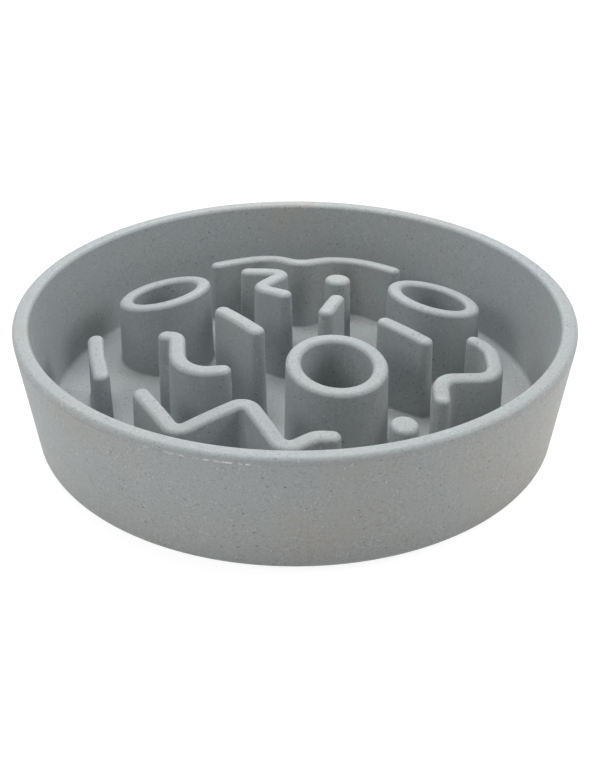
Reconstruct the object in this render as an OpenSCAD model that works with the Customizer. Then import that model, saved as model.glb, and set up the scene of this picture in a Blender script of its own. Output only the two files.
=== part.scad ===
// Round slow feeder bowl: a thick leaning wall round a flat floor, with fourteen upright
// obstacles on the floor, under one shallow dome that is highest over the bowl's centre.
// The origin is at the middle of the base, where the four foot pads meet the table.
// +Y points to the back of the bowl, +X to its right, +Z up. All sizes are millimetres.

/* [Bowl] */
// Outside diameter to which the leaning wall runs out at the rim, before its rounding
bowl_d = 260.8; // [200:0.1:340]
// Height of the bowl moulding, without its foot pads
bowl_h = 60; // [50:0.5:80]
// Outside diameter to which the leaning wall runs out at the base
base_d = 244; // [190:1:250]
// Thickness of the wall, measured level
wall_t = 7.6; // [4:0.1:10]
// Height of the floor's upper face above the foot ring's lower face
floor_h = 11.2; // [9:0.1:14]
// Thickness of the floor
floor_t = 6.6; // [4:0.1:7.5]
// Rounding of each edge of the rim
rim_round = 2; // [0.8:0.1:3]
// Rounding of the outer edge of the base
base_round = 6; // [2:0.1:8]
// Fillet between the floor and the wall
floor_fillet = 3; // [1:0.1:5]
// Width of the foot ring's flat face
foot_ring_w = 9; // [6:0.5:12]
// Rounding of the foot ring's inner edge
foot_ring_round = 1; // [0.4:0.1:2]

/* [Obstacles] */
// Radius of the dome that the obstacle tops lie on
dome_r = 300; // [220:1:500]
// Drop from the rim to the dome's highest point
dome_drop = 2; // [0.5:0.1:6]
// How far a top follows the dome across its own width, as a share of the dome's slope
top_tilt_share = 0.35; // [0:0.05:1]
// Thickness of a ridge near its top
ridge_t = 7.6; // [5:0.1:9]
// Outside radius of a round tower near its top
tower_r = 22.8; // [18:0.1:25]
// Wall thickness of a round tower near its top
tower_t = 7; // [5:0.1:9]
// Radius of a peg near its top
peg_r = 6.3; // [4:0.1:8]
// Rounding of the top edges of the obstacles
top_round = 2.1; // [0.8:0.1:2.4]
// Fillet where an obstacle meets the floor
root_fillet = 1.4; // [0.6:0.1:1.8]
// Draft angle of the obstacle sides
draft = 1; // [0.5:0.1:3]

/* [Foot pads] */
// Diameter of a foot pad
pad_d = 18; // [12:0.5:22]
// How far a foot pad stands out below the foot ring
pad_proud = 0.8; // [0.4:0.1:2]
// Depth of the collar that holds a foot pad, below the floor
collar_h = 3.2; // [2:0.1:4]
// Wall of the collar round a foot pad
collar_t = 3; // [2:0.1:4]
// Radius of the circle on which the foot pads sit, as a share of the base radius
pad_circle_share = 0.7; // [0.5:0.01:0.75]

/* [Hidden] */

body_colour = [0.60, 0.63, 0.64];
pad_colour = [0.25, 0.26, 0.27];

bowl_r = bowl_d / 2;
base_r = base_d / 2;
// Clearance round a foot pad in its collar
pad_gap = 0.1;
// Chamfer of a foot pad's upper and lower edges
pad_chamfer = 0.6;
// Spare bend radius that keeps the foot of a ridge from folding on itself
bend_spare = 0.5;

base_z = pad_proud;
rim_z = base_z + bowl_h;
floor_z = base_z + floor_h;
under_z = floor_z - floor_t;
function outer_r(z) = base_r + (bowl_r - base_r) * (z - base_z) / bowl_h;
function inner_r(z) = outer_r(z) - wall_t;
floor_r = inner_r(floor_z);
foot_in_r = base_r - base_round - foot_ring_w;
pad_r = pad_d / 2;
tower_middle_r = tower_r - tower_t / 2;
pad_circle_r = base_r * pad_circle_share;
collar_in_r = pad_r + pad_gap;
collar_out_r = collar_in_r + collar_t;
collar_low_z = under_z - collar_h;

// Height of the dome over a point of the floor, and of a top beside its own middle line: c is
// the place on that line, d the way out from it
crown_z = rim_z - dome_drop;
function dome_z(p) = crown_z - dome_r + sqrt(dome_r * dome_r - p.x * p.x - p.y * p.y);
function top_z(c, d, out) = dome_z(c) + top_tilt_share * (dome_z(c + out * d) - dome_z(c));

// The tightest bend of a ridge, and the spacing of the places along its straight runs
foot_half = ridge_t / 2 + (crown_z - floor_z) * tan(draft);
tight_bend = foot_half + root_fillet + bend_spare;
stride = 1.3 * ridge_t;

// Places of the obstacles, as shares of the floor's radius: x to the right, y to the back
tower_left_shares = [-0.558, 0.361];
tower_front_shares = [0.160, -0.370];
tower_right_shares = [0.590, 0.312];
peg_back_shares = [0.182, 0.370];
peg_front_shares = [0.399, -0.671];
wave_shares = [[-0.349, 0.727], [-0.121, 0.831], [0.022, 0.627], [0.233, 0.838], [0.440, 0.664]];
zed_shares = [[-0.204, 0.508], [-0.030, 0.459], [-0.158, 0.264], [-0.046, 0.184]];
hook_left_shares = [[-0.513, -0.100], [-0.467, -0.120], [-0.449, -0.389], [-0.275, -0.393]];
hook_right_shares = [[0.725, -0.050], [0.786, -0.086], [0.789, -0.290], [0.552, -0.386],
                     [0.552, -0.500]];
zigzag_shares = [[-0.580, -0.463], [-0.437, -0.701], [-0.179, -0.577], [-0.040, -0.820],
                 [0.075, -0.755], [0.134, -0.755]];
bar_left_shares = [[-0.815, 0.012], [-0.790, -0.139], [-0.754, -0.288]];
bar_centre_left_shares = [[-0.293, 0.047], [-0.153, -0.139]];
bar_centre_shares = [[0.171, 0.142], [0.127, 0.016]];
bar_right_shares = [[0.364, -0.033], [0.513, -0.139]];

// Radius of each inner corner of a path, as a share of the tightest bend
wave_bend_shares = [2, 1, 2.7];
zed_bend_shares = [1, 1];
hook_left_bend_shares = [1, 2.7];
hook_right_bend_shares = [1.6, 2.2, 1.6];
zigzag_bend_shares = [1, 1, 1, 1.6];
bar_left_bend_shares = [8];

// Counts of facets
turn_steps = 5;
cap_steps = 8;
tower_steps = 56;
peg_steps = 24;
arc_steps = 3;

// The arc that rounds the corner b of the path a, b, c with the radius r
function heading(a, b) = atan2(b.y - a.y, b.x - a.x);
function wrapped(a) = a > 180 ? a - 360 : a < -180 ? a + 360 : a;
function corner(a, b, c, r) =
    let (
        h = heading(a, b),
        turn = wrapped(heading(b, c) - h),
        side = sign(turn),
        start = b - r * tan(abs(turn) / 2) * [cos(h), sin(h)],
        centre = start + side * r * [-sin(h), cos(h)]
    )
    [for (i = [0:turn_steps])
        let (g = h + turn * i / turn_steps)
        centre + side * r * [sin(g), -cos(g)]];

// A path with rounded corners, and with places no further apart than the stride
function rounded(p, radii) = concat(
    [p[0]],
    [for (i = [1:1:len(p) - 2]) each corner(p[i - 1], p[i], p[i + 1], radii[i - 1])],
    [p[len(p) - 1]]
);
function strode(q) = concat(
    [for (i = [0:len(q) - 2])
        let (n = ceil(norm(q[i + 1] - q[i]) / stride))
        each [for (k = [0:n - 1]) q[i] + (q[i + 1] - q[i]) * k / n]],
    [q[len(q) - 1]]
);
function ridge_path(shares, bend_shares) =
    strode(rounded(shares * floor_r, bend_shares * tight_bend));

// Stations round a ridge, anticlockwise: a place on the centreline and the way out from it
function path_heading(q, i) =
    i == 0 ? heading(q[0], q[1]) :
    i == len(q) - 1 ? heading(q[i - 1], q[i]) :
    let (h = heading(q[i - 1], q[i])) h + wrapped(heading(q[i], q[i + 1]) - h) / 2;
function way(a) = [cos(a), sin(a)];
function stations(q) =
    let (n = len(q), first = path_heading(q, 0), last = path_heading(q, n - 1))
    concat(
        [for (i = [0:n - 1]) [q[i], way(path_heading(q, i) - 90)]],
        [for (k = [1:cap_steps - 1]) [q[n - 1], way(last - 90 + 180 * k / cap_steps)]],
        [for (i = [n - 1:-1:0]) [q[i], way(path_heading(q, i) + 90)]],
        [for (k = [1:cap_steps - 1]) [q[0], way(first + 90 + 180 * k / cap_steps)]]
    );

// The outline of one flank from its foot to its top, as points in space. c is the place on
// the middle line of the top, d the way out from it, half the half thickness near the top
function lean_out(c, d, half) =
    (top_z(c, d, half) - top_round - floor_z - root_fillet) * tan(draft);
function at(c, d, out, z) = [c.x + out * d.x, c.y + out * d.y, z];
function flank(c, d, half) =
    let (foot = half + lean_out(c, d, half))
    concat(
        [for (i = [0:arc_steps])
            let (a = 90 * i / arc_steps)
            at(c, d, foot + root_fillet * (1 - sin(a)), floor_z + root_fillet * (1 - cos(a)))],
        [for (i = [0:arc_steps])
            let (a = 90 * i / arc_steps, out = half - top_round * (1 - cos(a)))
            at(c, d, out, top_z(c, d, out) - top_round * (1 - sin(a)))]
    );
function reversed(points) = [for (i = [len(points) - 1:-1:0]) points[i]];
flank_n = 2 * (arc_steps + 1);

// Triangles between neighbouring outlines of m points each; wrap joins the last point to the
// first one
function skin_faces(total, m, wrap) =
    [for (k = [0:total - 1], j = [0:m - (wrap ? 1 : 2)])
        let (
            a = k * m + j, up = k * m + (j + 1) % m,
            b = ((k + 1) % total) * m + j, b_up = ((k + 1) % total) * m + (j + 1) % m
        )
        each [[a, up, b_up], [a, b_up, b]]];
// Triangles that close a ring of stations, first as station numbers with the top in mind
function fan(first, count, total) =
    [for (k = [1:count]) [first, (first + k + 1) % total, first + k]];
function ridge_lid(n, total) = concat(
    [for (i = [0:1:n - 2])
        let (far = 2 * n + cap_steps - 2 - i)
        each [[i, far, far - 1], [i, far - 1, i + 1]]],
    fan(n - 1, cap_steps - 1, total),
    fan(2 * n + cap_steps - 2, cap_steps - 1, total)
);
function lids(stations_lid) = concat(
    [for (t = stations_lid) [for (s = t) s * flank_n + flank_n - 1]],
    [for (t = stations_lid) [t[0] * flank_n, t[2] * flank_n, t[1] * flank_n]]
);

module solid_between(s, half, lid) {
    polyhedron(
        points = [for (k = s) each flank(k[0], k[1], half)],
        faces = concat(skin_faces(len(s), flank_n, false), lids(lid)),
        convexity = 8
    );
}

module ridge(shares, bend_shares) {
    q = ridge_path(shares, bend_shares);
    s = stations(q);
    color(body_colour) solid_between(s, ridge_t / 2, ridge_lid(len(q), len(s)));
}

module peg(shares) {
    s = [for (k = [0:peg_steps - 1]) [shares * floor_r, way(360 * k / peg_steps)]];
    color(body_colour) solid_between(s, peg_r, fan(0, peg_steps - 2, peg_steps));
}

// A tower's outline runs up its outside and back down the inside
module tower(shares) {
    c = shares * floor_r;
    color(body_colour)
        polyhedron(
            points = [for (k = [0:tower_steps - 1])
                let (d = way(360 * k / tower_steps), middle = c + tower_middle_r * d)
                each concat(
                    flank(middle, d, tower_t / 2), reversed(flank(middle, -d, tower_t / 2)))],
            faces = skin_faces(tower_steps, 2 * flank_n, true),
            convexity = 8
        );
}

module tower_left() { tower(tower_left_shares); }
module tower_front() { tower(tower_front_shares); }
module tower_right() { tower(tower_right_shares); }
module wave_ridge_back() { ridge(wave_shares, wave_bend_shares); }
module zed_ridge_back() { ridge(zed_shares, zed_bend_shares); }
module hook_ridge_left() { ridge(hook_left_shares, hook_left_bend_shares); }
module hook_ridge_right() { ridge(hook_right_shares, hook_right_bend_shares); }
module zigzag_ridge_front() { ridge(zigzag_shares, zigzag_bend_shares); }
module bar_left() { ridge(bar_left_shares, bar_left_bend_shares); }
module bar_centre_left() { ridge(bar_centre_left_shares, []); }
module bar_centre() { ridge(bar_centre_shares, []); }
module bar_right() { ridge(bar_right_shares, []); }
module peg_back() { peg(peg_back_shares); }
module peg_front() { peg(peg_front_shares); }

// The places of the foot pads, on the two diagonals
module at_pad(x_side, y_side) {
    translate([x_side * pad_circle_r / sqrt(2), y_side * pad_circle_r / sqrt(2), 0]) children();
}

// The shell's outline is walked anticlockwise from the axis under the floor. Its middle
// corners are rounded
module shell_outline() {
    corners = [
        [0, under_z], [foot_in_r, under_z], [foot_in_r, base_z], [base_r, base_z],
        [bowl_r, rim_z], [bowl_r - wall_t, rim_z], [floor_r, floor_z], [0, floor_z]
    ];
    radii = [foot_ring_round, foot_ring_round, base_round, rim_round, rim_round, floor_fillet];
    polygon(rounded(corners, radii));
}

module bowl() {
    color(body_colour) {
        rotate_extrude($fn = 144) shell_outline();
        for (x = [-1, 1], y = [-1, 1])
            at_pad(x, y)
                difference() {
                    translate([0, 0, collar_low_z])
                        cylinder(r = collar_out_r, h = collar_h + floor_t / 2, $fn = 48);
                    cylinder(r = collar_in_r, h = under_z, $fn = 48);
                }
    }
}

module foot_pad(x_side, y_side) {
    color(pad_colour)
        at_pad(x_side, y_side)
            rotate_extrude($fn = 48)
                polygon([
                    [0, 0], [pad_r - pad_chamfer, 0], [pad_r, pad_chamfer],
                    [pad_r, under_z - pad_chamfer], [pad_r - pad_chamfer, under_z], [0, under_z]
                ]);
}
module foot_pad_front_left() { foot_pad(-1, -1); }
module foot_pad_front_right() { foot_pad(1, -1); }
module foot_pad_back_right() { foot_pad(1, 1); }
module foot_pad_back_left() { foot_pad(-1, 1); }

bowl();
tower_left();
tower_front();
tower_right();
wave_ridge_back();
zed_ridge_back();
hook_ridge_left();
hook_ridge_right();
zigzag_ridge_front();
bar_left();
bar_centre_left();
bar_centre();
bar_right();
peg_back();
peg_front();
foot_pad_front_left();
foot_pad_front_right();
foot_pad_back_right();
foot_pad_back_left();
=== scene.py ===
"""The looks of a round slow feeder bowl: one thick plant-fibre moulding on four rubber pads.

Everything is in metres. The origin is at the middle of the base, with +Y to the back of the
bowl, +X to its right and +Z up. The sizes and places repeat those of the part's source. Round
pieces are turned up level by level, and ridges and pegs are raised from flat outlines by
insets, so that their edges and roots are rounded.
"""
import math

import bpy
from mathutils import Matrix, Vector


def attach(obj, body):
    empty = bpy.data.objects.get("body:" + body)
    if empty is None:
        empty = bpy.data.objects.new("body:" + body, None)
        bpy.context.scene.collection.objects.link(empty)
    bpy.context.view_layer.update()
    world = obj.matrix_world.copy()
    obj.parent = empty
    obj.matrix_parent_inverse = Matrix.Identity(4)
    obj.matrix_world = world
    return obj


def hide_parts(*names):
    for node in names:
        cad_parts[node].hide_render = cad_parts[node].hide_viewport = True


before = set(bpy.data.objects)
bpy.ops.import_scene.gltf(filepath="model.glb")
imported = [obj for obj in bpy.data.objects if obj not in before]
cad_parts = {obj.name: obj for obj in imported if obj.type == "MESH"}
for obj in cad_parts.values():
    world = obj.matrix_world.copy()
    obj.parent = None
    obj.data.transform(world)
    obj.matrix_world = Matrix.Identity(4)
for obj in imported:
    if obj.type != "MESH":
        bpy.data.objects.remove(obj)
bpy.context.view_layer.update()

MM = 0.001
QUARTER = math.pi / 2

# Sizes of the bowl
BASE_Z = 0.8 * MM
BOWL_H = 60 * MM
FLOOR_H = 11.2 * MM
FLOOR_T = 6.6 * MM
RIM_R = 130.4 * MM
BASE_R = 122 * MM
WALL_T = 7.6 * MM
RIM_ROUND = 2 * MM
BASE_ROUND = 6 * MM
FLOOR_FILLET = 3 * MM
FLAT_R = 40 * MM
FOOT_RING_W = 9 * MM
FOOT_RING_ROUND = 1 * MM
PARTING_DROP = 3.4 * MM
PARTING_PROUD = 0.07 * MM

RIM_Z = BASE_Z + BOWL_H
FLOOR_Z = BASE_Z + FLOOR_H
UNDER_Z = FLOOR_Z - FLOOR_T
PARTING_Z = RIM_Z - PARTING_DROP


def wall_r(z):
    """Radius of the leaning wall's outside at a height."""
    return BASE_R + (RIM_R - BASE_R) * (z - BASE_Z) / (RIM_Z - BASE_Z)


FLOOR_R = wall_r(FLOOR_Z) - WALL_T

# Sizes of the obstacles, whose tops lie under a shallow dome
DOME_R = 300 * MM
DOME_DROP = 2 * MM
TOP_TILT_SHARE = 0.35
RIDGE_HALF = 3.8 * MM
TOWER_R = 22.8 * MM
TOWER_T = 7 * MM
PEG_R = 6.3 * MM
TOP_ROUND = 2.1 * MM
ROOT_FILLET = 1.4 * MM
DRAFT = math.radians(1)
BEND_SPARE = 0.5 * MM

CROWN_Z = RIM_Z - DOME_DROP
TIGHT_BEND = RIDGE_HALF + (CROWN_Z - FLOOR_Z) * math.tan(DRAFT) + ROOT_FILLET + BEND_SPARE

# Sizes of the foot pads, with the dish in each measured inwards from the pad's edge
PAD_R = 9 * MM
PAD_CIRCLE_SHARE = 0.7
PAD_EDGE = 0.6 * MM
PAD_EDGE_STEP = 0.2 * MM
DISH_SLOPE_OUT = 3.4 * MM
DISH_SLOPE_IN = 4 * MM
DISH_DEPTH = 0.25 * MM

# Sizes of the collars that hold the pads
COLLAR_GAP = 0.1 * MM
COLLAR_T = 3 * MM
COLLAR_H = 3.2 * MM
COLLAR_CHAMFER = 0.4 * MM
COLLAR_ROOT = 0.8 * MM

COLLAR_IN_R = PAD_R + COLLAR_GAP
COLLAR_OUT_R = COLLAR_IN_R + COLLAR_T
COLLAR_LOW_Z = UNDER_Z - COLLAR_H

# Fineness of the pieces
BOWL_SIDES = 256
TOWER_SIDES = 128
PEG_SIDES = 64
PAD_SIDES = 64
ARC_STEPS = 8
CAP_STEPS = 16
LEAST_BEND_STEPS = 2
BEND_STEP = math.radians(7)
STRIDE = 3 * MM
LEAST_INSET = 0.0001 * MM
MERGE_GAP = 0.002 * MM
SMOOTH_ANGLE = math.radians(40)

# Places of the round obstacles as shares of the floor's radius
TOWER_SHARES = {
    "tower_left": (-0.558, 0.361),
    "tower_front": (0.160, -0.370),
    "tower_right": (0.590, 0.312),
}
PEG_SHARES = {
    "peg_back": (0.182, 0.370),
    "peg_front": (0.399, -0.671),
}

# Ends and corners as shares of the floor's radius, then bends as shares of the tightest bend
RIDGE_SHARES = {
    "wave_ridge_back": (
        [(-0.349, 0.727), (-0.121, 0.831), (0.022, 0.627), (0.233, 0.838), (0.440, 0.664)],
        [2, 1, 2.7]),
    "zed_ridge_back": (
        [(-0.204, 0.508), (-0.030, 0.459), (-0.158, 0.264), (-0.046, 0.184)],
        [1, 1]),
    "hook_ridge_left": (
        [(-0.513, -0.100), (-0.467, -0.120), (-0.449, -0.389), (-0.275, -0.393)],
        [1, 2.7]),
    "hook_ridge_right": (
        [(0.725, -0.050), (0.786, -0.086), (0.789, -0.290), (0.552, -0.386), (0.552, -0.500)],
        [1.6, 2.2, 1.6]),
    "zigzag_ridge_front": (
        [(-0.580, -0.463), (-0.437, -0.701), (-0.179, -0.577), (-0.040, -0.820),
         (0.075, -0.755), (0.134, -0.755)],
        [1, 1, 1, 1.6]),
    "bar_left": ([(-0.815, 0.012), (-0.790, -0.139), (-0.754, -0.288)], [8]),
    "bar_centre_left": ([(-0.293, 0.047), (-0.153, -0.139)], []),
    "bar_centre": ([(0.171, 0.142), (0.127, 0.016)], []),
    "bar_right": ([(0.364, -0.033), (0.513, -0.139)], []),
}

# Sides of the bowl on which each pad stands, along X and along Y
PAD_SIDE_SIGNS = {
    "foot_pad_front_left": (-1, -1),
    "foot_pad_front_right": (1, -1),
    "foot_pad_back_right": (1, 1),
    "foot_pad_back_left": (-1, 1),
}


# Paths and outlines

def heading(a, b):
    return math.atan2(b[1] - a[1], b[0] - a[0])


def way(angle):
    return Vector((math.cos(angle), math.sin(angle)))


def wrapped(angle):
    return (angle + math.pi) % (2 * math.pi) - math.pi


def corner(a, b, c, radius):
    """Points of the arc that rounds the corner b of the path a, b, c."""
    first = heading(a, b)
    turn = wrapped(heading(b, c) - first)
    side = math.copysign(1, turn)
    start = Vector(b) - radius * math.tan(abs(turn) / 2) * way(first)
    centre = start + side * radius * way(first + QUARTER)
    steps = max(LEAST_BEND_STEPS, math.ceil(abs(turn) / BEND_STEP))
    return [centre - side * radius * way(first + turn * i / steps + QUARTER)
            for i in range(steps + 1)]


def rounded(corners, radii):
    """A path whose inner corners are rounded, each by its own radius."""
    places = [Vector(corners[0])]
    for a, b, c, radius in zip(corners, corners[1:], corners[2:], radii):
        places += corner(a, b, c, radius)
    return places + [Vector(corners[-1])]


def strode(path):
    """The same path with places no further apart than the stride."""
    places = []
    for a, b in zip(path, path[1:]):
        steps = max(1, math.ceil((b - a).length / STRIDE))
        places += [a.lerp(b, i / steps) for i in range(steps)]
    return places + [path[-1]]


def outline_round(path, half):
    """The anticlockwise outline of a band of that half width along a path, with round ends."""
    headings = []
    for i in range(len(path)):
        before = heading(path[max(i - 1, 0)], path[max(i, 1)])
        after = heading(path[min(i, len(path) - 2)], path[min(i + 1, len(path) - 1)])
        headings.append(before + wrapped(after - before) / 2)
    right = [p + half * way(h - QUARTER) for p, h in zip(path, headings)]
    left = [p + half * way(h + QUARTER) for p, h in zip(path, headings)]
    far_cap = [path[-1] + half * way(headings[-1] - QUARTER + math.pi * k / CAP_STEPS)
               for k in range(1, CAP_STEPS)]
    near_cap = [path[0] + half * way(headings[0] + QUARTER + math.pi * k / CAP_STEPS)
                for k in range(1, CAP_STEPS)]
    return right + far_cap + left[::-1] + near_cap


def nearest_on(path, place):
    """The place of a path that is nearest to another place."""
    best = path[0]
    for a, b in zip(path, path[1:]):
        along = b - a
        share = (place - a).dot(along) / along.length_squared
        near = a + min(max(share, 0), 1) * along
        if (place - near).length < (place - best).length:
            best = near
    return best


def dome_z(place):
    return CROWN_Z - DOME_R + math.sqrt(DOME_R ** 2 - place.length_squared)


def top_z(place, middle):
    """Height of a top at a place beside the nearest place on the top's middle line."""
    return dome_z(middle) + TOP_TILT_SHARE * (dome_z(place) - dome_z(middle))


def quarter_steps():
    return [QUARTER * i / ARC_STEPS for i in range(ARC_STEPS + 1)]


def lean_at(place):
    """How far a drafted side leans out between its top rounding and its root."""
    return (dome_z(place) - TOP_ROUND - FLOOR_Z - ROOT_FILLET) * math.tan(DRAFT)


def rise_levels(half, lean):
    """(Half width, height) of each outline up a side, under the dome's highest point."""
    foot = [(half + lean + ROOT_FILLET * (1 - math.sin(a)),
             FLOOR_Z + ROOT_FILLET * (1 - math.cos(a))) for a in quarter_steps()]
    top = [(half - TOP_ROUND * (1 - math.cos(a)),
            CROWN_Z - TOP_ROUND * (1 - math.sin(a))) for a in quarter_steps()]
    return foot + top


# Modelling steps

def begin():
    """Leaves edit mode and deselects everything."""
    if bpy.context.object and bpy.context.object.mode != "OBJECT":
        bpy.ops.object.mode_set(mode="OBJECT")
    bpy.ops.object.select_all(action="DESELECT")


def finish_piece(piece, name, material, replaced):
    """Closes the edit, points the faces out, smooths, names and hands over the piece."""
    bpy.ops.mesh.select_all(action="SELECT")
    bpy.ops.mesh.remove_doubles(threshold=MERGE_GAP)
    bpy.ops.mesh.normals_make_consistent(inside=False)
    bpy.ops.object.mode_set(mode="OBJECT")
    bpy.ops.object.transform_apply(location=True, rotation=True, scale=True)
    bpy.ops.object.shade_smooth_by_angle(angle=SMOOTH_ANGLE)
    piece.name = name
    piece.data.name = name
    piece.data.materials.clear()
    piece.data.materials.append(material)
    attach(piece, "root")
    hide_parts(*replaced)


def turn_up(outline, sides, centre=(0, 0), closed=False):
    """Turns (radius, height) points into rings round an upright axis, one above another.

    An open outline ends in a flat face at both ends, and a closed one runs back to its start.
    """
    begin()
    radius, height = outline[0]
    bpy.ops.mesh.primitive_circle_add(
        vertices=sides, radius=radius, fill_type="NOTHING",
        location=(centre[0], centre[1], height))
    piece = bpy.context.object
    bpy.ops.object.mode_set(mode="EDIT")
    bpy.ops.mesh.select_all(action="SELECT")
    if not closed:
        bpy.ops.mesh.edge_face_add()
        bpy.ops.mesh.select_all(action="SELECT")
    levels = outline[1:] + ([outline[0]] if closed else [])
    for next_radius, next_height in levels:
        bpy.ops.mesh.extrude_region_move(
            TRANSFORM_OT_translate={"value": (0, 0, next_height - height)})
        ratio = next_radius / radius
        bpy.ops.transform.resize(
            value=(ratio, ratio, 1), center_override=(centre[0], centre[1], next_height))
        radius, height = next_radius, next_height
    if not closed:
        bpy.ops.mesh.edge_face_add()
    return piece


def bring_under_dome(piece, middle_of):
    """Lowers the upper half of a piece; middle_of gives a place's nearest middle of the top."""
    bpy.ops.object.mode_set(mode="OBJECT")
    bpy.ops.object.transform_apply(location=True, rotation=True, scale=True)
    half_way = (FLOOR_Z + CROWN_Z) / 2
    for vertex in piece.data.vertices:
        if vertex.co.z > half_way:
            place = vertex.co.xy
            vertex.co.z += top_z(place, middle_of(place)) - CROWN_Z
    bpy.ops.object.mode_set(mode="EDIT")


def raise_outline(outline, half, lean, middle_of):
    """Raises a flat outline into a ridge or peg: each level is one inset of its top face."""
    begin()
    bpy.ops.mesh.primitive_circle_add(
        vertices=len(outline), radius=half, fill_type="NGON", location=(0, 0, 0))
    piece = bpy.context.object
    for vertex, place in zip(piece.data.vertices, outline):
        vertex.co = (place[0], place[1], FLOOR_Z)
    bpy.ops.object.mode_set(mode="EDIT")
    bpy.ops.mesh.select_mode(type="FACE")
    bpy.ops.mesh.select_all(action="SELECT")
    levels = rise_levels(half, lean)
    for (width, height), (next_width, next_height) in zip(levels, levels[1:]):
        bpy.ops.mesh.inset(
            thickness=max(width - next_width, LEAST_INSET), depth=next_height - height,
            use_even_offset=True, use_boundary=True)
    bpy.ops.mesh.quads_convert_to_tris(ngon_method="BEAUTY")
    bpy.ops.mesh.select_all(action="DESELECT")
    bpy.ops.mesh.select_mode(type="VERT")
    bpy.ops.mesh.select_non_manifold()
    bpy.ops.mesh.edge_face_add()
    bring_under_dome(piece, middle_of)
    return piece


# Shader nodes

BUMP_STRENGTH = 0.3


def node(tree, kind, **inputs):
    """A new node with its inputs set; a low line in a name stands for a space."""
    made = tree.nodes.new(kind)
    for name, value in inputs.items():
        made.inputs[name.replace("_", " ")].default_value = value
    return made


def noise(tree, place, scale, detail=2.0, roughness=0.5, distortion=0.0):
    made = node(tree, "ShaderNodeTexNoise", Scale=scale, Detail=detail, Roughness=roughness,
                Distortion=distortion)
    tree.links.new(place, made.inputs["Vector"])
    return made.outputs["Fac"]


def span(tree, value, low, high, to_low=0.0, to_high=1.0):
    """Maps a value from one span to another, clamped."""
    made = node(tree, "ShaderNodeMapRange", From_Min=low, From_Max=high, To_Min=to_low,
                To_Max=to_high)
    tree.links.new(value, made.inputs["Value"])
    return made.outputs["Result"]


def maths(tree, operation, a, b=0.0):
    made = tree.nodes.new("ShaderNodeMath")
    made.operation = operation
    for socket, value in zip(made.inputs, (a, b)):
        if isinstance(value, (int, float)):
            socket.default_value = value
        else:
            tree.links.new(value, socket)
    return made.outputs["Value"]


def times(tree, a, b):
    return maths(tree, "MULTIPLY", a, b)


def blended(tree, factor, below, above):
    """Mixes two colours, each a colour or an output, by a factor."""
    made = tree.nodes.new("ShaderNodeMix")
    made.data_type = "RGBA"
    for name, value in ((0, factor), (6, below), (7, above)):
        if isinstance(value, (int, float, tuple)):
            made.inputs[name].default_value = value
        else:
            tree.links.new(value, made.inputs[name])
    return made.outputs[2]


def laid_over(tree, mask, strength, below, above):
    """Lays one colour over another where a mask is, at a strength."""
    return blended(tree, times(tree, mask, strength), below, above)


def split(tree, place):
    """The x, y and z of a place, and its distance from the upright axis."""
    parts = tree.nodes.new("ShaderNodeSeparateXYZ")
    tree.links.new(place, parts.inputs["Vector"])
    x, y, z = (parts.outputs[axis] for axis in "XYZ")
    squares = maths(tree, "ADD", times(tree, x, x), times(tree, y, y))
    return x, y, z, maths(tree, "SQRT", squares)


def begin_material(name):
    """A new material with its tree, its shader and the place on the piece."""
    material = bpy.data.materials.new(name)
    material.use_nodes = True
    tree = material.node_tree
    place = tree.nodes.new("ShaderNodeTexCoord").outputs["Object"]
    return material, tree, tree.nodes["Principled BSDF"], place


def finish_material(tree, shader, colour, roughness, grain, grain_height):
    tree.links.new(colour, shader.inputs["Base Color"])
    tree.links.new(roughness, shader.inputs["Roughness"])
    bump = node(tree, "ShaderNodeBump", Strength=BUMP_STRENGTH, Distance=grain_height)
    tree.links.new(grain, bump.inputs["Height"])
    tree.links.new(bump.outputs["Normal"], shader.inputs["Normal"])


# The plastic and the rubber

COOL = (0.348, 0.379, 0.389, 1)
WARM = (0.374, 0.358, 0.335, 1)
SHADE = (0.250, 0.270, 0.278, 1)
PALE = (0.460, 0.484, 0.486, 1)
PALE_FLECK = (0.58, 0.60, 0.59, 1)
BROWN_FLECK = (0.20, 0.17, 0.14, 1)
DARK_FLECK = (0.115, 0.127, 0.134, 1)
# Bright colour of the painted glints and scuffs on the parting line
GLINT_AND_WEAR = (0.80, 0.81, 0.81, 1)
RUBBER = (0.045, 0.047, 0.050, 1)
WORN_RUBBER = (0.062, 0.064, 0.067, 1)

PLASTIC_GLOSS = 0.4
PLASTIC_GRAIN_H = 0.2 * MM
RUBBER_GRAIN_H = 0.1 * MM
FLECK_CORE_SHARE = 0.4

# Where a look begins and where it is full: low on the wall's outside, and round the painted
# glints and scuffs
LOW_WALL_R = (119 * MM, 121 * MM)
LOW_WALL_Z = (46 * MM, 8 * MM)
GLINT_AND_WEAR_R = (126 * MM, 128 * MM)
GLINT_AND_WEAR_LEFT_X = (-78 * MM, -36 * MM)
GLINT_AND_WEAR_RIGHT_X = (-12 * MM, -17 * MM)
GLINT_AND_WEAR_Y = (-60 * MM, -90 * MM)
GLINT_AND_WEAR_HALF_H = (0.5 * MM, 0.15 * MM)


def flecks(tree, place, turn, stretch, scale, size, share):
    """A mask of short fibres: stretched cells of a turned grid, of which a share is filled."""
    mapping = node(tree, "ShaderNodeMapping", Rotation=turn, Scale=stretch)
    tree.links.new(place, mapping.inputs["Vector"])
    cells = node(tree, "ShaderNodeTexVoronoi", Scale=scale)
    tree.links.new(mapping.outputs["Vector"], cells.inputs["Vector"])
    near = span(tree, cells.outputs["Distance"], size, size * FLECK_CORE_SHARE)
    pick = tree.nodes.new("ShaderNodeSeparateColor")
    tree.links.new(cells.outputs["Color"], pick.inputs["Color"])
    chosen = maths(tree, "LESS_THAN", pick.outputs["Red"], share)
    strength = span(tree, pick.outputs["Green"], 0, 1, to_low=0.35)
    return times(tree, times(tree, near, chosen), strength)


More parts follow.
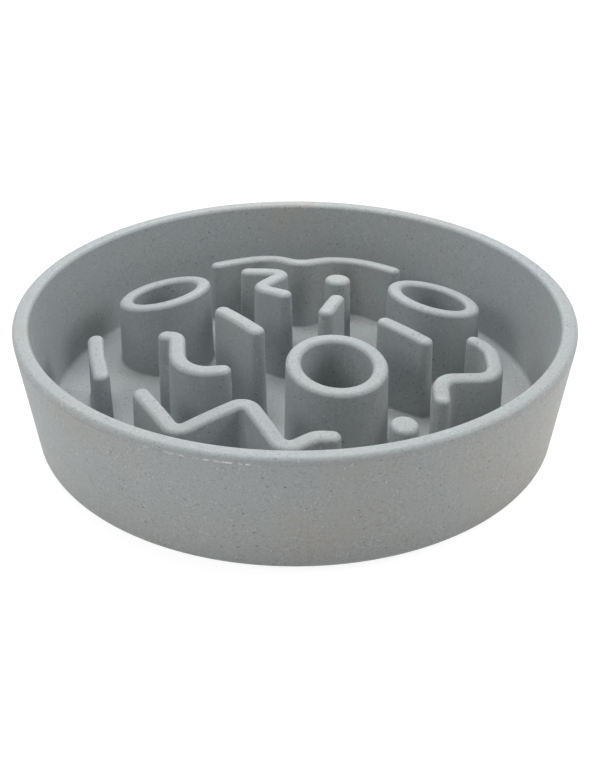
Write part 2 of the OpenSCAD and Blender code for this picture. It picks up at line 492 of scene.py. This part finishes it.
def low_outside(tree, place):
    """1 low on the wall's outside, fading to 0 below the rim and on everything inside."""
    z, radius = split(tree, place)[2:]
    return times(tree, span(tree, radius, *LOW_WALL_R), span(tree, z, *LOW_WALL_Z))


def glints_and_wear(tree, place):
    """1 on short bright marks along the parting line, outside at the front left: painted glints
    and scuffs.
    """
    x, y, z, radius = split(tree, place)
    off_line = maths(tree, "ABSOLUTE", maths(tree, "SUBTRACT", z, PARTING_Z))
    mask = span(tree, off_line, *GLINT_AND_WEAR_HALF_H)
    for limit in (
            span(tree, radius, *GLINT_AND_WEAR_R),
            span(tree, x, *GLINT_AND_WEAR_LEFT_X),
            span(tree, x, *GLINT_AND_WEAR_RIGHT_X),
            span(tree, y, *GLINT_AND_WEAR_Y),
            span(tree, noise(tree, place, scale=300, detail=3, roughness=0.7), 0.46, 0.58)):
        mask = times(tree, mask, limit)
    return mask


def fibre_plastic():
    """Matt blue-grey plastic with ground plant fibre in it, warmer in loose patches."""
    material, tree, shader, place = begin_material("plant_fibre_plastic")
    low_wall = low_outside(tree, place)

    mottle = noise(tree, place, scale=260, detail=4, roughness=0.7)
    cloud = span(tree, noise(tree, place, scale=13, detail=3, roughness=0.6), 0.47, 0.70)
    patches = maths(tree, "ADD", cloud, times(tree, low_wall, 0.4))
    speckle = span(tree, mottle, 0.40, 0.60, to_low=0.25)
    colour = blended(tree, span(tree, times(tree, patches, speckle), 0, 1), COOL, WARM)

    clouds = noise(tree, place, scale=95, roughness=0.6)
    coarse = span(tree, clouds, 0.40, 0.62, to_low=0.15)
    clumps = times(tree, coarse, span(tree, low_wall, 0, 1, to_low=0.75, to_high=1.15))
    for scale, thin, strength, wisp in ((520, 0.52, 0.9, SHADE), (600, 0.53, 1, PALE)):
        threads = noise(tree, place, scale, detail=4, roughness=0.8, distortion=1.6)
        wisps = span(tree, threads, thin, 0.62, to_high=strength)
        colour = laid_over(tree, wisps, clumps, colour, wisp)
    specks = noise(tree, place, scale=1000, roughness=0.7)
    colour = blended(tree, span(tree, specks, 0.50, 0.66, to_high=0.5), colour, SHADE)

    drifts = noise(tree, place, scale=70, roughness=0.6)
    spread = span(tree, drifts, 0.42, 0.60, to_low=0.25)
    for turn, stretch, scale, size, share, strength, fleck in (
            ((0.9, 0.4, 0.2), (1, 1, 0.6), 650, 0.32, 0.22, 0.6, PALE_FLECK),
            ((0.3, 1.1, 0.5), (1, 0.6, 1), 680, 0.32, 0.22, 0.6, BROWN_FLECK),
            ((0.2, 0.5, 1.2), (0.6, 1, 1), 600, 0.30, 0.26, spread, DARK_FLECK)):
        mask = flecks(tree, place, turn, stretch, scale, size, share)
        colour = laid_over(tree, mask, strength, colour, fleck)
    # Painted glints, with scuffs, along the parting line at the front left
    colour = laid_over(tree, glints_and_wear(tree, place), 0.9, colour, GLINT_AND_WEAR)

    roughness = span(tree, mottle, 0.3, 0.7, to_low=0.46, to_high=0.60)
    shader.inputs["Specular IOR Level"].default_value = PLASTIC_GLOSS
    grain = noise(tree, place, scale=2100, roughness=0.6)
    finish_material(tree, shader, colour, roughness, grain, PLASTIC_GRAIN_H)
    return material


def pad_rubber():
    """Dark soft rubber, faintly mottled."""
    material, tree, shader, place = begin_material("foot_pad_rubber")
    mottle = noise(tree, place, scale=700, detail=3, roughness=0.6)
    colour = blended(tree, span(tree, mottle, 0.35, 0.65), RUBBER, WORN_RUBBER)
    roughness = span(tree, mottle, 0.3, 0.7, to_low=0.62, to_high=0.78)
    grain = noise(tree, place, scale=2600)
    finish_material(tree, shader, colour, roughness, grain, RUBBER_GRAIN_H)
    return material


plastic = fibre_plastic()
rubber = pad_rubber()


# The bowl

def bowl_outline():
    """From under the floor out round the foot ring, up the wall, over the rim and back down.

    Within the flat radius the floor is one plain face above and one below.
    """
    ring_in_r = BASE_R - BASE_ROUND - FOOT_RING_W
    parting_r = wall_r(PARTING_Z)
    lower = rounded(
        [(FLAT_R, UNDER_Z), (ring_in_r, UNDER_Z), (ring_in_r, BASE_Z), (BASE_R, BASE_Z),
         (parting_r, PARTING_Z)],
        [FOOT_RING_ROUND, FOOT_RING_ROUND, BASE_ROUND])
    upper = rounded(
        [(parting_r - PARTING_PROUD, PARTING_Z), (RIM_R - PARTING_PROUD, RIM_Z),
         (RIM_R - WALL_T, RIM_Z), (FLOOR_R, FLOOR_Z), (FLAT_R, FLOOR_Z)],
        [RIM_ROUND, RIM_ROUND, FLOOR_FILLET])
    return [(place.x, place.y) for place in lower + upper]


shell = turn_up(bowl_outline(), BOWL_SIDES)
finish_piece(shell, "bowl_shell", plastic, ["bowl"])


# The foot pads and their collars

def collar(name, centre):
    outline = [
        (COLLAR_IN_R, UNDER_Z),
        (COLLAR_IN_R, COLLAR_LOW_Z + COLLAR_CHAMFER),
        (COLLAR_IN_R + COLLAR_CHAMFER, COLLAR_LOW_Z),
        (COLLAR_OUT_R - COLLAR_CHAMFER, COLLAR_LOW_Z),
        (COLLAR_OUT_R, COLLAR_LOW_Z + COLLAR_CHAMFER),
        (COLLAR_OUT_R, UNDER_Z - COLLAR_ROOT),
        (COLLAR_OUT_R + COLLAR_ROOT, UNDER_Z),
    ]
    piece = turn_up(outline, PAD_SIDES, centre, closed=True)
    finish_piece(piece, name, plastic, ["bowl"])


def foot_pad(name, centre):
    outline = [
        (PAD_R - DISH_SLOPE_IN, DISH_DEPTH),
        (PAD_R - DISH_SLOPE_OUT, 0),
        (PAD_R - PAD_EDGE, 0),
        (PAD_R - PAD_EDGE_STEP, PAD_EDGE_STEP),
        (PAD_R, PAD_EDGE),
        (PAD_R, UNDER_Z - PAD_EDGE),
        (PAD_R - PAD_EDGE, UNDER_Z),
    ]
    piece = turn_up(outline, PAD_SIDES, centre)
    finish_piece(piece, name + "_rubber", rubber, [name])


pad_offset = PAD_CIRCLE_SHARE * BASE_R / math.sqrt(2)
for pad_name, (x_side, y_side) in PAD_SIDE_SIGNS.items():
    pad_centre = (x_side * pad_offset, y_side * pad_offset)
    collar(pad_name.replace("foot_pad", "pad_collar"), pad_centre)
    foot_pad(pad_name, pad_centre)


# The obstacles

def tower(name, centre):
    """A tube whose bore mirrors the outside: it narrows to its foot and is rounded at the top."""
    lean = lean_at(centre)
    bore_r = TOWER_R - TOWER_T
    middle_r = TOWER_R - TOWER_T / 2

    def middle_of(place):
        return centre + middle_r * (place - centre).normalized()

    outer = rise_levels(TOWER_R, lean)
    inner = [(2 * bore_r - radius, height) for radius, height in rise_levels(bore_r, lean)]
    piece = turn_up(outer + inner[::-1], TOWER_SIDES, centre, closed=True)
    bring_under_dome(piece, middle_of)
    finish_piece(piece, name + "_tube", plastic, [name])


def ridge(name, corner_shares, bend_shares):
    corners = [Vector(share) * FLOOR_R for share in corner_shares]
    path = strode(rounded(corners, [share * TIGHT_BEND for share in bend_shares]))
    lean = lean_at(path[len(path) // 2])
    outline = outline_round(path, RIDGE_HALF + lean + ROOT_FILLET)
    piece = raise_outline(outline, RIDGE_HALF, lean, lambda place: nearest_on(path, place))
    finish_piece(piece, name + "_wall", plastic, [name])


def peg(name, centre):
    lean = lean_at(centre)
    foot = PEG_R + lean + ROOT_FILLET
    outline = [centre + foot * way(2 * math.pi * k / PEG_SIDES) for k in range(PEG_SIDES)]
    piece = raise_outline(outline, PEG_R, lean, lambda place: centre)
    finish_piece(piece, name + "_post", plastic, [name])


for obstacle, place_share in TOWER_SHARES.items():
    tower(obstacle, Vector(place_share) * FLOOR_R)
for obstacle, (corner_shares, bend_shares) in RIDGE_SHARES.items():
    ridge(obstacle, corner_shares, bend_shares)
for obstacle, place_share in PEG_SHARES.items():
    peg(obstacle, Vector(place_share) * FLOOR_R)


# The stage, in metres

WHITE = (1, 1, 1, 1)
PAPER = (0.86, 0.82, 0.78, 1)
SHADOW_PAPER = (0.22, 0.22, 0.22, 1)
FLOOR_SIDE = 8
GLOW_AWAY = (0.3, 1.2)
NEAR_GLOW = 0.9
SKY = (0.94, 0.97, 1, 1)
SKY_STRENGTH = 0.2

# Place, width, depth and power of each softbox
SOFTBOX_TARGET = Vector((0, 0, 0.03))
SOFTBOXES = {
    "top_box": ((-0.18, 0.18, 1.5), 0.7, 0.7, 14),
    "back_box": ((0, 1.23, 0.89), 0.6, 0.6, 6.2),
    "right_box": ((1.23, 0, 0.89), 0.6, 0.6, 7.7),
    "left_box": ((-1.06, -0.61, 0.89), 0.6, 0.6, 5.4),
    "low_right_box": ((1.43, -0.38, 0.24), 0.9, 0.4, 2),
    "low_left_box": ((-1.05, -1.05, 0.24), 0.9, 0.4, 1.5),
}


def shine_and_show(tree, output_kind, shining, shown):
    """Ends a tree: one shader lights the bowl, the other is what a view or reflection shows."""
    rays = tree.nodes.new("ShaderNodeLightPath")
    plain = maths(tree, "MAXIMUM", rays.outputs["Is Camera Ray"], rays.outputs["Is Glossy Ray"])
    plain = maths(tree, "MAXIMUM", plain, rays.outputs["Is Transmission Ray"])
    mix = tree.nodes.new("ShaderNodeMixShader")
    tree.links.new(plain, mix.inputs[0])
    tree.links.new(shining.outputs[0], mix.inputs[1])
    tree.links.new(shown.outputs[0], mix.inputs[2])
    output = tree.nodes.new(output_kind)
    tree.links.new(mix.outputs[0], output.inputs["Surface"])


def stage_floor():
    """Pale paper that keeps a faint shadow and is seen as full white further away."""
    begin()
    bpy.ops.mesh.primitive_plane_add(size=FLOOR_SIDE, location=(0, 0, 0))
    floor = bpy.context.object
    floor.name = "stage_floor"
    material = bpy.data.materials.new("stage_white")
    material.use_nodes = True
    tree = material.node_tree
    tree.nodes.clear()
    paper = node(tree, "ShaderNodeBsdfDiffuse", Color=PAPER)
    shadow_paper = node(tree, "ShaderNodeBsdfDiffuse", Color=SHADOW_PAPER)
    glow = node(tree, "ShaderNodeEmission", Color=WHITE)
    away = split(tree, tree.nodes.new("ShaderNodeTexCoord").outputs["Object"])[3]
    tree.links.new(span(tree, away, *GLOW_AWAY, to_low=NEAR_GLOW), glow.inputs["Strength"])
    seen = tree.nodes.new("ShaderNodeAddShader")
    tree.links.new(shadow_paper.outputs[0], seen.inputs[0])
    tree.links.new(glow.outputs[0], seen.inputs[1])
    shine_and_show(tree, "ShaderNodeOutputMaterial", paper, seen)
    floor.data.materials.append(material)


def white_world():
    """A dim sky that is seen as plain white."""
    world = bpy.data.worlds.new("studio")
    bpy.context.scene.world = world
    world.use_nodes = True
    tree = world.node_tree
    tree.nodes.clear()
    sky = node(tree, "ShaderNodeBackground", Color=SKY, Strength=SKY_STRENGTH)
    white = node(tree, "ShaderNodeBackground", Color=WHITE, Strength=1)
    shine_and_show(tree, "ShaderNodeOutputWorld", sky, white)


def softbox(name, place, width, depth, power):
    begin()
    bpy.ops.object.light_add(type="AREA", location=place)
    lamp = bpy.context.object
    lamp.name = name
    lamp.data.shape = "RECTANGLE"
    lamp.data.size = width
    lamp.data.size_y = depth
    lamp.data.energy = power
    lamp.rotation_euler = (SOFTBOX_TARGET - Vector(place)).to_track_quat("-Z", "Y").to_euler()


stage_floor()
white_world()
for box_name, (box_place, box_width, box_depth, box_power) in SOFTBOXES.items():
    softbox(box_name, box_place, box_width, box_depth, box_power)


# Camera, fitted to the photograph of 590 by 768 pixels

PHOTO_HEIGHT_PX = 768
FOCAL_PX = 1350.1
SENSOR_MM = 36
CAMERA_OUT = 563.2 * MM
CAMERA_UP = 342.7 * MM
CAMERA_DIP_DEGREES = 29.94

bpy.ops.object.camera_add(
    location=(0, -CAMERA_OUT, CAMERA_UP + BASE_Z),
    rotation=(math.radians(90 - CAMERA_DIP_DEGREES), 0, 0))
camera = bpy.context.object
camera.name = "photo_camera"
camera.data.sensor_width = SENSOR_MM
camera.data.lens = FOCAL_PX * SENSOR_MM / PHOTO_HEIGHT_PX
bpy.context.scene.camera = camera

bpy.context.scene.view_settings.view_transform = "Standard"
